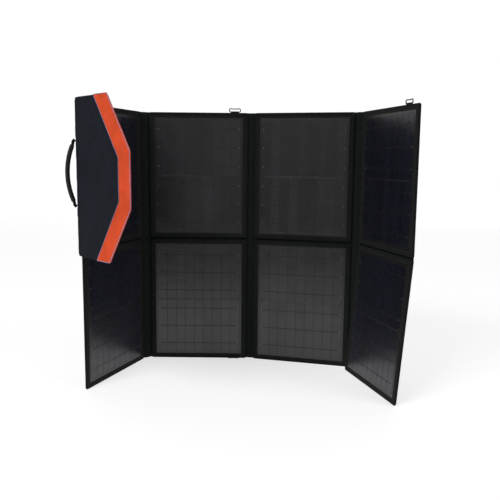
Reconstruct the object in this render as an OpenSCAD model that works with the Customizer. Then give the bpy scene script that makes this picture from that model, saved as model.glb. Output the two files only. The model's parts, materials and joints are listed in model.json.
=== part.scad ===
// Folding eight-panel solar kit: two rows of four panels sewn into a fabric
// wall, with a case spine, a carry handle and a case flap on the left column.
// Frame: +Z up, -Y is the sunny side, the origin is the middle of the bottom
// edge of the lower panel in column 2.
//
// Each column is drawn flat in its own frame: x runs from the fold line on its
// left (0) to the fold line on its right (pitch_x), y runs from the sunny face
// (0) to the rear face (panel_t), z runs up from the floor.

/* [Panels] */
// Distance between neighbouring fold lines
pitch_x = 295; // [290:1:305]
// Height of one row of panels, between its edge and the row fold
pitch_z = 350; // [349:1:356]
// Width of one sewn panel
panel_w = 275; // [260:1:280]
// Height of one sewn panel
panel_h = 348; // [340:1:348]
// Thickness of one sewn panel
panel_t = 5; // [4.6:0.1:6]
// Width of the solar laminate
laminate_w = 251; // [245:1:253]
// Height of the solar laminate
laminate_h = 327; // [320:1:330]
// Thickness of the solar laminate
laminate_t = 1.5; // [1:0.1:1.8]
// Thickness of the fabric frame round the laminate
frame_t = 0.7; // [0.5:0.05:0.7]
// Overlap of the fabric frame on the laminate
frame_lap = 3; // [2:0.5:5]
// Thickness of the stiffening board
board_t = 2; // [1.5:0.1:2.2]
// Margin of the stiffening board inside the panel edge
board_margin = 5; // [4:0.5:8]

/* [Cells] */
// Cell strips side by side in one row of a laminate
strips = 9; // [4:1:12]
// Rows of cell strips in one laminate
strip_rows = 2; // [1:1:3]
// Width of one cell strip
strip_w = 25; // [20:0.5:25.5]
// Height of one cell strip
strip_h = 154; // [140:1:155]
// Gap between neighbouring cell strips
strip_gap = 0.8; // [0.5:0.1:1]
// Cut corner of the outermost strips
strip_chamfer = 8; // [2:0.5:12]

/* [Rest pose] */
// Fold of column 1 against column 2
left_angle = 69; // [40:1:80]
// Fold of column 3 against column 2
centre_angle = 14.5; // [5:0.5:20]
// Fold of column 4 against column 3
right_angle = 59; // [40:1:80]
// Lean of the lower panel of column 4
lean_angle = 5; // [0:0.5:6]
// Turn of the case spine against column 1
spine_angle = 30; // [5:1:40]
// Turn of the case flap against the spine
flap_angle = 35.5; // [20:0.5:60]

/* [Folds] */
// How far the fold axis of a front-to-front fold stands before the faces
valley_out = 7; // [6.5:0.5:8]
// How far the axis of the back-to-back fold stands behind the faces
ridge_out = 0.5; // [0.4:0.1:1]
// How far a row fold axis stands before the faces
row_out = 0.3; // [0.2:0.05:0.4]
// Gap left between the halves of a web that folds forward
web_gap = 0.6; // [0.6:0.1:1.2]
// Thickness of the fabric webs
web_t = 0.8; // [0.6:0.1:1]

/* [Case] */
// Width of the case spine
spine_w = 38; // [34:1:46]
// Height of the spine and flap
case_h = 364; // [352:1:368]
// Thickness of the spine and flap
case_t = 3.2; // [3:0.1:4]
// Width of the soft web on each side of the spine
case_web = 2; // [2:0.5:4]
// Width of the case flap, from its fold to its tip edge
flap_w = 218; // [200:1:230]
// Length of the flap's straight top and bottom edges
flap_side = 134; // [120:1:150]
// Length of the flap's tip edge
flap_tip = 120; // [100:1:140]
// Width of the coloured stripe
stripe_w = 40; // [30:1:50]
// Thickness of the coloured stripe
stripe_t = 0.6; // [0.4:0.1:1]

/* [Handle] */
// Distance between the handle's two anchors
handle_span = 158; // [152:1:180]
// How far the handle's bow stands out
handle_rise = 19; // [18:1:24]
// Diameter of the padded grip
grip_d = 11.6; // [10:0.2:12]
// Length of the padded grip along the span
grip_span = 134; // [110:1:136]
// Diameter of the gathered strap
strap_d = 5; // [4:0.2:5.6]
// Distance of the handle's swing axis from the spine
handle_out = 3.4; // [3.2:0.1:4]
// Size of a stitched anchor patch
anchor = [28, 22]; // [16:1:30]
// Thickness of a stitched anchor patch
anchor_t = 0.7; // [0.4:0.1:0.8]

/* [Rings] */
// Overall width of a ring
ring_w = 33; // [28:1:36]
// Distance between the ring's two long wires
ring_reach = 9; // [8:0.5:11]
// Diameter of the ring wire
ring_wire = 3; // [2.6:0.1:3.2]
// Width of the webbing tab that holds a ring
tab_w = 22; // [16:1:22]
// Distance of the centre rings from the centre fold
ring_inset = 47; // [44:1:60]
// Distance of the corner ring from the outer edge of column 4
ring_corner = 48; // [44:1:60]

/* [Hidden] */
$fn = 32;
PANEL_PIECES = ["front_frame", "laminate", "cells", "board", "rear_cover",
                "junction_box"];

// Edges and fold lines
edge_x = (pitch_x - panel_w) / 2;
row_gap = 2 * (pitch_z - panel_h);
total_z = 2 * pitch_z;
skin_t = panel_t - frame_t - laminate_t - board_t;
board_y = frame_t + laminate_t;
box = [74, 20];
box_cut = 2;
box_z = 128;
cell_t = 0.15;
ribbon = 1.2;
ribbon_end = 3;
busbars = 3;
strip_nick = 0.4;
play = 0.3;
frame_inset = 0.5;
row_spacing = 2;

// Webs: how far they stop short of a panel's corners, how far they are sewn
// onto the panel, and the hem left of the vertical webs on the lower row
web_end = 4;
web_root = 1;
web_hem = 1.5;

// Case spine and flap, drawn flat in the frame of column 1
case_gap = 5;
case_slack = 0.5;
lug_gap = case_web + 0.4;
fold_x = pitch_x - edge_x + case_gap;
case_y = (panel_t - case_t) / 2;
flap_x = fold_x + 2 * case_web + spine_w + case_slack;
case_z = pitch_z + (pitch_z - case_h) / 2 + (pitch_z - panel_h) / 2;
case_skin = 0.7;
flap_margin = 5;
stripe_edge = 3;

// Handle bow: an arc through both anchors
bow_r = (pow(handle_span / 2, 2) + pow(handle_rise, 2)) / (2 * handle_rise);
bow_half = asin(handle_span / 2 / bow_r);
grip_half = asin(grip_span / 2 / bow_r);
handle_x = fold_x + case_web + spine_w / 2;
handle_lift = 10;
handle_z = case_z + case_h / 2 + handle_lift;

// Ring: the wire's centre line, and the tab that holds its straight wire
wire_r = ring_wire / 2;
tab_skin = 0.55;
tab_play = 0.25;
tab_r = wire_r + tab_play + tab_skin;
ring_bend = 3.2;
notch = [ring_w + 6, 2 * tab_r + 1.2];
notch_margin = 3;

// ---------- Frames of the columns ----------

module column_2() {
    translate([-pitch_x / 2, -panel_t / 2, 0]) children();
}

module column_1() {
    column_2() translate([0, -valley_out, 0]) rotate(left_angle)
        translate([-pitch_x, valley_out, 0]) children();
}

module column_3() {
    column_2() translate([pitch_x, panel_t + ridge_out, 0]) rotate(-centre_angle)
        translate([0, -panel_t - ridge_out, 0]) children();
}

module column_4() {
    column_3() translate([pitch_x, -valley_out, 0]) rotate(-right_angle)
        translate([0, valley_out, 0]) children();
}

module at_column(col) {
    if (col == 1) column_1() children();
    if (col == 2) column_2() children();
    if (col == 3) column_3() children();
    if (col == 4) column_4() children();
}

// Lower panel of column 4, turned forward about its row fold
module leaning(on) {
    translate([0, -row_out, pitch_z]) rotate([on ? -lean_angle : 0, 0, 0])
        translate([0, row_out, -pitch_z]) children();
}

// One panel: its children are drawn with z = 0 at the panel's lower edge
module at_panel(row, col) {
    lift = row == "upper" ? total_z - panel_h : 0;
    at_column(col) leaning(row == "lower" && col == 4)
        translate([0, 0, lift]) children();
}

// ---------- Flat shapes, drawn in x and z and given a thickness along y ----------

module plate(y, t) {
    translate([0, y + t, 0]) rotate([90, 0, 0]) linear_extrude(t) children();
}

module panel_outline(inset = 0) {
    translate([edge_x + inset, inset])
        square([panel_w - 2 * inset, panel_h - 2 * inset]);
}

module laminate_outline(inset = 0) {
    translate([(pitch_x - laminate_w) / 2 + inset, (panel_h - laminate_h) / 2 + inset])
        square([laminate_w - 2 * inset, laminate_h - 2 * inset]);
}

// Opening in the bottom edge for a ring, only on the panel that has one there
module ring_notch(row, col, margin = 0) {
    if (row == "lower" && col == 2)
        translate([pitch_x - ring_inset - notch[0] / 2 - margin, -1])
            square([notch[0] + 2 * margin, notch[1] + 1 + margin]);
}

// ---------- Pieces of a panel ----------

module front_frame(row, col) {
    color([0.11, 0.125, 0.13]) plate(0, frame_t) difference() {
        panel_outline(frame_inset);
        laminate_outline(frame_lap);
        ring_notch(row, col);
    }
}

module laminate() {
    color([0.19, 0.19, 0.21]) plate(frame_t, laminate_t) laminate_outline();
}

// One strip of a cut cell; the outermost strips have their outer corners cut
module strip(cut_left, cut_right) {
    l = cut_left ? strip_chamfer : strip_nick;
    r = cut_right ? strip_chamfer : strip_nick;
    polygon([[l, 0], [strip_w - r, 0], [strip_w, r], [strip_w, strip_h - r],
             [strip_w - r, strip_h], [l, strip_h], [0, strip_h - l], [0, l]]);
}

module cells() {
    step_x = strip_w + strip_gap;
    run = strips * step_x - strip_gap;
    row_step = strip_h + row_spacing;
    x0 = (pitch_x - run) / 2;
    z0 = (panel_h - strip_rows * row_step + row_spacing) / 2;
    color([0.13, 0.13, 0.16]) for (r = [0:strip_rows - 1]) {
        plate(frame_t - cell_t, cell_t) for (i = [0:strips - 1])
            translate([x0 + i * step_x, z0 + r * row_step])
                strip(i == 0, i == strips - 1);
        // ribbons that lie across the strips of one row
        plate(frame_t - 2 * cell_t, cell_t) for (b = [0:busbars - 1])
            translate([x0 + ribbon_end, z0 + r * row_step + strip_h * (2 * b + 1) / (2 * busbars)])
                square([run - 2 * ribbon_end, ribbon]);
    }
}

module board(row, col) {
    color([0.82, 0.82, 0.8]) plate(board_y, board_t) difference() {
        panel_outline(board_margin + play);
        translate([pitch_x / 2 - box[0] / 2 - play, box_z - play])
            square([box[0] + 2 * play, box[1] + 2 * play]);
        ring_notch(row, col, notch_margin);
    }
}

// Thin sealed box where the laminate's ribbons leave it, let into the board
module junction_box() {
    color([0.05, 0.05, 0.05]) plate(board_y, board_t - 0.1)
        translate([pitch_x / 2 - box[0] / 2, box_z]) polygon([
            [box_cut, 0], [box[0] - box_cut, 0], [box[0], box_cut], [box[0], box[1] - box_cut],
            [box[0] - box_cut, box[1]], [box_cut, box[1]], [0, box[1] - box_cut], [0, box_cut]]);
}

// Half of the soft web towards each neighbouring fold line; on the lower row,
// whose columns are not hinged to each other, only the hem of the web is left
module webs(row, col) {
    valley = row == "upper" ? web_gap / 2 : edge_x - web_hem;
    ridge = row == "upper" ? 2 * web_gap : edge_x - web_hem;
    left = col == 3 ? ridge : valley;
    right = col == 2 ? ridge : valley;
    tall = panel_h - 2 * web_end;
    row_web = row_gap / 2 - web_gap / 2;
    z = row == "upper" ? -row_web : panel_h - web_root;
    plate(panel_t - web_t, web_t) {
        if (col > 1) translate([left, web_end]) square([edge_x - left + web_root, tall]);
        if (col < 4) translate([pitch_x - edge_x - web_root, web_end])
            square([edge_x - right + web_root, tall]);
        translate([edge_x + web_end / 2, z])
            square([panel_w - web_end, row_web + web_root]);
    }
    // stitched lug of the case spine's web
    if (row == "upper" && col == 1) plate(panel_t - web_t, web_t)
        translate([pitch_x - fold_x + lug_gap, web_end])
            square([case_gap - lug_gap + web_root, panel_h - 2 * web_end]);
}

// Rear fabric with its turned-up rim; the pocket holds the board and laminate
module rear_cover(row, col) {
    color([0.13, 0.14, 0.15]) union() {
        difference() {
            plate(frame_t, panel_t - frame_t) difference() {
                panel_outline();
                ring_notch(row, col);
            }
            plate(frame_t - 1, 1 + panel_t - frame_t - skin_t) difference() {
                panel_outline(board_margin);
                ring_notch(row, col, 2);
            }
        }
        webs(row, col);
    }
}

// ---------- Rings ----------

// Frames of the three rings: the straight wire's middle is at the origin
module at_ring(row, col) {
    x = col == 2 ? pitch_x - ring_inset : pitch_x - edge_x - ring_corner;
    up = row == "upper";
    at_panel(row, col) translate([x, panel_t / 2, up ? panel_h + tab_r : tab_r])
        rotate([up ? 0 : 90, 0, 0]) children();
}

// Closed loop of bent wire in the x-z plane
module ring() {
    half = ring_w / 2 - wire_r;
    color([0.16, 0.16, 0.17]) rotate([90, 0, 0]) {
        for (s = [-1, 1]) mirrored(s) {
            rotate([0, 90, 0]) cylinder(h = half - ring_bend, r = wire_r);
            translate([0, ring_reach, 0]) rotate([0, 90, 0])
                cylinder(h = half - ring_bend, r = wire_r);
            translate([half, ring_bend, 0]) rotate([-90, 0, 0])
                cylinder(h = ring_reach - 2 * ring_bend, r = wire_r);
            translate([half - ring_bend, ring_bend, 0]) rotate(-90)
                rotate_extrude(angle = 90) translate([ring_bend, 0]) circle(wire_r);
            translate([half - ring_bend, ring_reach - ring_bend, 0])
                rotate_extrude(angle = 90) translate([ring_bend, 0]) circle(wire_r);
        }
    }
}

module mirrored(side) {
    mirror([side < 0 ? 1 : 0, 0, 0]) children();
}

// Webbing folded round the ring's straight wire
module ring_tab(stem) {
    color([0.09, 0.1, 0.1]) difference() {
        translate([-tab_w / 2, 0, 0]) rotate([0, 90, 0]) union() {
            cylinder(h = tab_w, r = tab_r);
            translate([0, -tab_r + 0.2, 0]) cube([stem, 2 * tab_r - 0.4, tab_w]);
        }
        translate([-tab_w / 2 - 1, 0, 0]) rotate([0, 90, 0])
            cylinder(h = tab_w + 2, r = wire_r + tab_play);
    }
}

module upper_ring_tab(col) {
    at_ring("upper", col) ring_tab(tab_r);
}

// The lower tab runs up into its panel instead of down
module lower_ring_tab() {
    at_ring("lower", 2) rotate([90, 0, 0]) ring_tab(notch[1] - tab_r);
}

// ---------- Case spine, flap and handle, drawn flat in column 1 ----------

module at_spine() {
    column_1() translate([pitch_x - fold_x, panel_t / 2, 0]) rotate(spine_angle)
        translate([fold_x - pitch_x, -panel_t / 2, 0]) children();
}

module at_flap() {
    at_spine() translate([pitch_x - flap_x, panel_t / 2, 0]) rotate(flap_angle)
        translate([flap_x - pitch_x, -panel_t / 2, 0]) children();
}

module spine_cover() {
    x = pitch_x - fold_x - case_web - spine_w;
    color([0.13, 0.15, 0.19]) at_spine() {
        translate([x, case_y, case_z]) cube([spine_w, case_t, case_h]);
        for (end = [-1, 1])
            translate([pitch_x - handle_x - anchor[0] / 2, case_y + case_t,
                       handle_z + end * handle_span / 2 + (end - 1) / 2 * anchor[1]])
                cube([anchor[0], anchor_t, anchor[1]]);
    }
}

// Outline of the flap, moved inwards by inset
module flap_outline(inset = 0) {
    tip_low = (case_h - flap_tip) / 2;
    x = pitch_x - flap_x - case_web;
    offset(delta = -inset) translate([x, case_z]) polygon([
        [0, 0], [-flap_side + case_web, 0], [-flap_w + case_web, tip_low],
        [-flap_w + case_web, tip_low + flap_tip], [-flap_side + case_web, case_h],
        [0, case_h]]);
}

module flap_board() {
    color([0.82, 0.82, 0.8]) at_flap()
        plate(case_y + case_skin, case_t - 2 * case_skin) flap_outline(flap_margin + play);
}

module flap_cover() {
    color([0.14, 0.16, 0.2]) at_flap() difference() {
        plate(case_y, case_t) flap_outline();
        plate(case_y + case_skin, case_t - 2 * case_skin) flap_outline(flap_margin);
    }
}

// Band that follows the two slanted edges and the tip edge
module stripe_outline() {
    slant = [flap_w - flap_side, (case_h - flap_tip) / 2];
    run = stripe_w * norm(slant) / slant[1];
    x = pitch_x - flap_x;
    beyond = 200;
    side_x = x - flap_side + beyond * slant[0] / slant[1];
    difference() {
        flap_outline(stripe_edge);
        // everything on the fold's side of the stripe
        translate([run, 0]) polygon([
            [x + beyond, case_z - beyond], [side_x, case_z - beyond],
            [x - flap_w, case_z + slant[1]], [x - flap_w, case_z + slant[1] + flap_tip],
            [side_x, case_z + case_h + beyond], [x + beyond, case_z + case_h + beyond]]);
    }
}

module flap_stripe() {
    color([0.9, 0.36, 0.18]) at_flap() plate(case_y + case_t, stripe_t) stripe_outline();
}

// Arc of the handle's bow, in the plane through both anchors
module bow(half, d) {
    at_spine() translate([pitch_x - handle_x,
                          case_y + case_t + handle_out - bow_r + handle_rise, handle_z])
        rotate([0, -90, 0]) rotate(90 - half) rotate_extrude(angle = 2 * half, $fn = 96)
            translate([bow_r, 0]) circle(d = d, $fn = 24);
}

module handle_strap() {
    color([0.05, 0.05, 0.055]) difference() {
        bow(bow_half - 0.6, strap_d);
        bow(grip_half + 0.05, grip_d - 1);
    }
}

module handle_grip() {
    color([0.07, 0.07, 0.075]) bow(grip_half, grip_d);
}

// ---------- Nodes ----------

module piece(row, col, name) {
    at_panel(row, col) {
        if (name == "front_frame") front_frame(row, col);
        if (name == "laminate") laminate();
        if (name == "cells") cells();
        if (name == "board") board(row, col);
        if (name == "rear_cover") rear_cover(row, col);
        if (name == "junction_box") junction_box();
    }
}

for (row = ["upper", "lower"], col = [1:4], name = PANEL_PIECES)
    piece(row, col, name);
upper_ring_tab(2);  // upper_2_ring_tab
at_ring("upper", 2) ring();  // upper_2_ring
upper_ring_tab(4);  // upper_4_ring_tab
at_ring("upper", 4) ring();  // upper_4_ring
lower_ring_tab();  // lower_2_ring_tab
at_ring("lower", 2) ring();  // lower_2_ring
spine_cover();
flap_cover();
flap_board();
flap_stripe();
handle_strap();
handle_grip();
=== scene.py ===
import bpy
import json
import math
import numpy as np
from mathutils import Matrix, Vector


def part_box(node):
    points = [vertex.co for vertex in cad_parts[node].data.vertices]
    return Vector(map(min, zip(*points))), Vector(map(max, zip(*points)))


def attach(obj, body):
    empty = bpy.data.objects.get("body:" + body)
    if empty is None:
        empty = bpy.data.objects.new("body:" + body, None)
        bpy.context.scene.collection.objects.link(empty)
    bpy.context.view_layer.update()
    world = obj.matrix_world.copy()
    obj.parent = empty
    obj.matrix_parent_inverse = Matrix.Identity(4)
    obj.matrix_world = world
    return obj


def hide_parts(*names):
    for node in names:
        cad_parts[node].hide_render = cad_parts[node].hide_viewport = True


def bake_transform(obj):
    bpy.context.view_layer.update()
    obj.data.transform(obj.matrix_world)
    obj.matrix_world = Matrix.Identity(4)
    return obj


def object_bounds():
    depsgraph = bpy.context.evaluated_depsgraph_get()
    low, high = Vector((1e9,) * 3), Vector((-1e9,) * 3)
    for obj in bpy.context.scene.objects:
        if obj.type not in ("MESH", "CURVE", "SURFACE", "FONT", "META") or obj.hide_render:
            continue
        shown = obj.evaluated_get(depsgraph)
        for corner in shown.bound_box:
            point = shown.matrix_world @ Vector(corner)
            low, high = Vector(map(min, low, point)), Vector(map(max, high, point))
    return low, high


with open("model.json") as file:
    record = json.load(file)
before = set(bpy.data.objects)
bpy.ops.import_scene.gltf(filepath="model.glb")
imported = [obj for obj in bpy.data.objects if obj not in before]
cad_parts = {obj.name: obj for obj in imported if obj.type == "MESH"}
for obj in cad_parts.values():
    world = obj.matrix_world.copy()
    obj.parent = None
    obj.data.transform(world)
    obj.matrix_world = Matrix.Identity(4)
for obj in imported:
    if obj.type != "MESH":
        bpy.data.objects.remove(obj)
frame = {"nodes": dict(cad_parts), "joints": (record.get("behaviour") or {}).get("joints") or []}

# A folding eight-panel solar kit. Every piece is drawn flat in millimetres in
# the frame of its own panel: x across from the panel's middle, y back from its
# sunny face, z up from its lower edge. A matrix then sets it in the row frame.

CAD_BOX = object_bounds()
MM = 0.001
UP = Vector((0, 0, 1))
JOINT = {j["name"]: j for j in frame["joints"]}
ROWS = ("upper", "lower")
COLUMNS = (1, 2, 3, 4)


def span(node, axis):
    """Extent of a CAD node along one axis of the row frame, in millimetres."""
    low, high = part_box(node)
    return (high[axis] - low[axis]) / MM


# ---------- Sizes taken from the frame, in millimetres ----------

TRIM = 0.5  # the fabric frame stops this far inside the edge
W = span("upper_2_front_frame", 0) + 2 * TRIM
H = span("upper_2_front_frame", 2) + 2 * TRIM
T = 5.0  # thickness of a panel
LAM_W = span("upper_2_laminate", 0)
LAM_H = span("upper_2_laminate", 2)
CELLS_W = span("upper_2_cells", 0)
CELLS_H = span("upper_2_cells", 2)
LAM_Y = (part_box("upper_2_laminate")[0].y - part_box("upper_2_front_frame")[0].y) / MM
CASE_H = span("spine_cover", 2)
CASE_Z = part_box("spine_cover")[0].z / MM
CASE_T = 3.2  # thickness of the case cloth and its board
LAP = 3.0  # the fabric frame laps this far over the laminate
WINDOW = (LAP + (W - LAM_W) / 2, LAP + (H - LAM_H) / 2)
STRIPS, STRIP_ROWS, BUSBARS = 9, 2, 3
STRIP_GAP, ROW_GAP = 0.8, 2


# ---------- Frames ----------

def basis(across, origin):
    """Matrix from millimetres in a flat frame to metres in the row frame."""
    back = UP.cross(across)
    m = Matrix((across, back, UP)).transposed().to_4x4() @ Matrix.Scale(MM, 4)
    m.translation = origin
    return m


def turned(m, joint, degrees):
    """Matrix m swung about a joint's axis."""
    about = Matrix.Translation(Vector(joint["pos_m"]))
    spin = Matrix.Rotation(math.radians(degrees), 4, Vector(joint["axis"]))
    return about @ spin @ about.inverted() @ m


def panel_frame(row, col):
    """Flat frame of one panel, with a lower panel turned to where it stands at rest."""
    joint = JOINT[f"row_fold_{col}"]
    across = -Vector(joint["axis"])
    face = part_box("upper_2_front_frame")[0].y - JOINT["row_fold_2"]["pos_m"][1]
    origin = Vector(joint["pos_m"]) + UP.cross(across) * face
    origin.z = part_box("upper_2_front_frame")[0].z - TRIM * MM if row == "upper" else 0.0
    m = basis(across, origin)
    return m if row == "upper" else turned(m, joint, -joint["range_deg"][0])


PANEL = {(r, c): panel_frame(r, c) for r in ROWS for c in COLUMNS}
SPINE_POS = Vector(JOINT["spine_fold"]["pos_m"])
FLAP_POS = Vector(JOINT["flap_fold"]["pos_m"])
OUTWARD = (FLAP_POS - SPINE_POS).normalized()
SPINE_REACH = (FLAP_POS - SPINE_POS).length / MM
FLAP_OUT = Matrix.Rotation(-math.radians(JOINT["flap_fold"]["range_deg"][0]), 3, "Z") @ OUTWARD


def case_frame(pos, outward):
    """Frame of the spine or flap: x is minus the distance from its fold, y = 0 is its middle."""
    origin = pos.copy()
    origin.z = CASE_Z * MM
    return basis(-outward, origin)


SPINE = case_frame(SPINE_POS, OUTWARD)
FLAP = case_frame(FLAP_POS, FLAP_OUT)


def place(m, points):
    """Points of a flat frame in row metres."""
    a = np.array(m)
    return np.asarray(points, float) @ a[:3, :3].T + a[:3, 3]


# ---------- Shape helpers ----------

def ripples(x, z, seed, size, waves=6):
    """Smooth irregular height of about -1 to 1, with bumps about size across."""
    rng = np.random.default_rng(seed)
    total = np.zeros(np.broadcast(x, z).shape)
    for _ in range(waves):
        angle, phase = rng.uniform(0, 2 * math.pi, 2)
        k = 2 * math.pi / (size * rng.uniform(0.7, 1.6))
        total = total + np.sin(k * (x * math.cos(angle) + z * math.sin(angle)) + phase)
    return total / waves * 1.6


def rounded_rect(w, h, r, side=24, corner=5):
    """Closed outline, counter-clockwise, with a fixed number of points for any size."""
    points = []
    centres = [(w / 2 - r, h - r), (-w / 2 + r, h - r), (-w / 2 + r, r), (w / 2 - r, r)]
    for i, (cx, cz) in enumerate(centres):
        for k in range(corner + 1):
            a = math.pi / 2 * (i + k / corner)
            points.append((cx + r * math.cos(a), cz + r * math.sin(a)))
        a = math.pi / 2 * (i + 1)
        nx, nz = centres[(i + 1) % 4]
        start = (cx + r * math.cos(a), cz + r * math.sin(a))
        end = (nx + r * math.cos(a), nz + r * math.sin(a))
        for k in range(1, side):
            f = k / side
            points.append((start[0] + (end[0] - start[0]) * f, start[1] + (end[1] - start[1]) * f))
    return np.array(points)


def stack(x, y, z):
    """Points from three arrays or numbers that broadcast together."""
    return np.column_stack([np.ravel(a) for a in np.broadcast_arrays(x, y, z)])


def grid_faces(rows, cols, close_rows=False, close_cols=False):
    """Quads between rows of points, with either direction joined into a loop if asked."""
    faces = []
    for i in range(rows if close_rows else rows - 1):
        for j in range(cols if close_cols else cols - 1):
            a, b = i * cols + j, i * cols + (j + 1) % cols
            c, d = ((i + 1) % rows) * cols + (j + 1) % cols, ((i + 1) % rows) * cols + j
            faces.append((a, b, c, d))
    return faces


def closed_sheet(rows, columns, shift):
    """Faces of a two-layer grid with its rim closed; the second layer starts at point shift."""
    near = grid_faces(rows, columns)
    rim = list(range(columns)) + [(i + 1) * columns - 1 for i in range(1, rows)]
    rim += [(rows - 1) * columns + i for i in range(columns - 2, -1, -1)]
    rim += [i * columns for i in range(rows - 2, 0, -1)]
    faces = near + [tuple(i + shift for i in f[::-1]) for f in near]
    return faces + [(b, a, a + shift, b + shift) for a, b in zip(rim, rim[1:] + rim[:1])]


def add_object(name, data):
    obj = bpy.data.objects.new(name, data)
    bpy.context.scene.collection.objects.link(obj)
    return obj


def piece(name, m, points, faces, material, body, replaces=(), smooth=True, detail=0,
          flat=None, tone=None, ride=True):
    """Makes one mesh object from points in a flat frame, and hangs it on its body."""
    points = np.asarray(points, float)
    mesh = bpy.data.meshes.new(name)
    mesh.from_pydata(place(m, points).tolist(), [], [tuple(int(i) for i in f) for f in faces])
    mesh.validate()
    for polygon in mesh.polygons:
        polygon.use_smooth = smooth
    weave = mesh.attributes.new("flat", "FLOAT_VECTOR", "POINT")
    weave.data.foreach_set("vector", (np.asarray(points if flat is None else flat, float) * MM)
                           .astype(np.float32).ravel())
    if tone is not None:
        shade = mesh.attributes.new("tone", "FLOAT", "POINT")
        shade.data.foreach_set("value", np.asarray(tone, np.float32))
    mesh.materials.append(material)
    obj = add_object(name, mesh)
    if detail:
        sub = obj.modifiers.new("detail", "SUBSURF")
        sub.levels = sub.render_levels = detail
    if ride:
        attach(obj, body)
    if replaces:
        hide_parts(*replaces)
    return obj


def sweep(path, radius_a, radius_b=None, sides=10, closed=False, out=(0, 1, 0)):
    """Tube along a path: radius_a is measured along out, radius_b across it. Returns points, faces."""
    path = np.asarray(path, float)
    n = len(path)
    ra = np.broadcast_to(radius_a, n)
    rb = np.broadcast_to(ra if radius_b is None else radius_b, n)
    before = np.roll(path, 1, 0) if closed else np.vstack([path[:1], path[:-1]])
    after = np.roll(path, -1, 0) if closed else np.vstack([path[1:], path[-1:]])
    tangent = after - before
    tangent /= np.linalg.norm(tangent, axis=1)[:, None]
    side = np.cross(tangent, np.asarray(out, float))
    side /= np.linalg.norm(side, axis=1)[:, None]
    lift = np.cross(side, tangent)
    points = []
    for k in range(sides):
        a = 2 * math.pi * k / sides
        points.append(path + lift * (ra * math.cos(a))[:, None] + side * (rb * math.sin(a))[:, None])
    points = np.stack(points, 1).reshape(-1, 3)
    faces = grid_faces(n, sides, close_rows=closed, close_cols=True)
    if not closed:
        faces += [tuple(range(sides))[::-1], tuple(range((n - 1) * sides, n * sides))]
    return points, faces


def stitches(path, step, length, width, height, out):
    """Row of short raised threads along a path; out is the way they stand up."""
    path = np.asarray(path, float)
    lengths = np.linalg.norm(np.diff(path, axis=0), axis=1)
    reach = np.concatenate([[0], np.cumsum(lengths)])
    out = np.asarray(out, float)
    points, faces = [], []
    for s in np.arange(step / 2, reach[-1] - step / 2, step):
        ends = [np.array([np.interp(s + d, reach, path[:, i]) for i in range(3)])
                for d in (-length / 2, 0, length / 2)]
        along = ends[2] - ends[0]
        along /= np.linalg.norm(along)
        side = np.cross(along, out)
        base = len(points)
        mid = ends[1]
        points += [ends[0] - out * height * 0.3, mid - side * width / 2, mid + out * height,
                   mid + side * width / 2, ends[2] - out * height * 0.3]
        faces += [(base, base + 1, base + 2), (base, base + 2, base + 3),
                  (base + 4, base + 2, base + 1), (base + 4, base + 3, base + 2)]
    return np.array(points), faces


def joined(parts):
    """One list of points and one of faces from several pairs of them."""
    points, faces = [], []
    for p, f in parts:
        faces += [tuple(i + len(points) for i in face) for face in f]
        points += p.tolist()
    return points, faces


# ---------- Materials ----------

def new_material(name):
    """Material with its nodes, its links and its main shader."""
    material = bpy.data.materials.new(name)
    material.use_nodes = True
    nodes, links = material.node_tree.nodes, material.node_tree.links
    return material, nodes, links, nodes["Principled BSDF"]


def value_of(socket_or_number, node, index, links):
    """Sets an input to a number, or links a socket to it."""
    if isinstance(socket_or_number, (int, float)):
        node.inputs[index].default_value = socket_or_number
    else:
        links.new(socket_or_number, node.inputs[index])


def calculator(nodes, links):
    """Function that adds a math node on two numbers or sockets and returns its result."""
    return lambda kind, a, b=0.0: maths(nodes, links, kind, a, b)


def maths(nodes, links, kind, a, b):
    node = nodes.new("ShaderNodeMath")
    node.operation = kind
    value_of(a, node, 0, links)
    value_of(b, node, 1, links)
    return node.outputs[0]


def ramp(nodes, links, factor, stops):
    """Colour read from a ramp with the given stops."""
    node = nodes.new("ShaderNodeValToRGB")
    while len(node.color_ramp.elements) < len(stops):
        node.color_ramp.elements.new(0.5)
    for element, (position, colour) in zip(node.color_ramp.elements, stops):
        element.position = position
        element.color = (*colour, 1)
    links.new(factor, node.inputs[0])
    return node.outputs["Color"]


def spread(nodes, links, vector, scale, low, high, detail=3.0):
    """Noise mapped to the range low to high."""
    noise = nodes.new("ShaderNodeTexNoise")
    noise.inputs["Scale"].default_value = scale
    noise.inputs["Detail"].default_value = detail
    links.new(vector, noise.inputs["Vector"])
    node = nodes.new("ShaderNodeMapRange")
    node.inputs["From Min"].default_value = 0.3
    node.inputs["From Max"].default_value = 0.7
    node.inputs["To Min"].default_value = low
    node.inputs["To Max"].default_value = high
    links.new(noise.outputs["Fac"], node.inputs["Value"])
    return node.outputs["Result"]


def mix_colour(nodes, links, factor, a, b, kind="MIX"):
    """Blend of two colours or sockets."""
    node = nodes.new("ShaderNodeMix")
    node.data_type = "RGBA"
    node.blend_type = kind
    value_of(factor, node, 0, links)
    for index, colour in ((6, a), (7, b)):
        if isinstance(colour, tuple):
            node.inputs[index].default_value = (*colour, 1)
        else:
            links.new(colour, node.inputs[index])
    return node.outputs[2]


def flat_coordinates(nodes, links):
    """The flat attribute that piece() writes, whole and as x, y and z."""
    node = nodes.new("ShaderNodeAttribute")
    node.attribute_name = "flat"
    parts = nodes.new("ShaderNodeSeparateXYZ")
    links.new(node.outputs["Vector"], parts.inputs[0])
    return node.outputs["Vector"], parts.outputs


def bump(nodes, links, bsdf, height, distance, strength=1.0):
    """Feeds a height into the shader's normal."""
    node = nodes.new("ShaderNodeBump")
    node.inputs["Distance"].default_value = distance
    node.inputs["Strength"].default_value = strength
    links.new(height, node.inputs["Height"])
    links.new(node.outputs[0], bsdf.inputs["Normal"])


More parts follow.
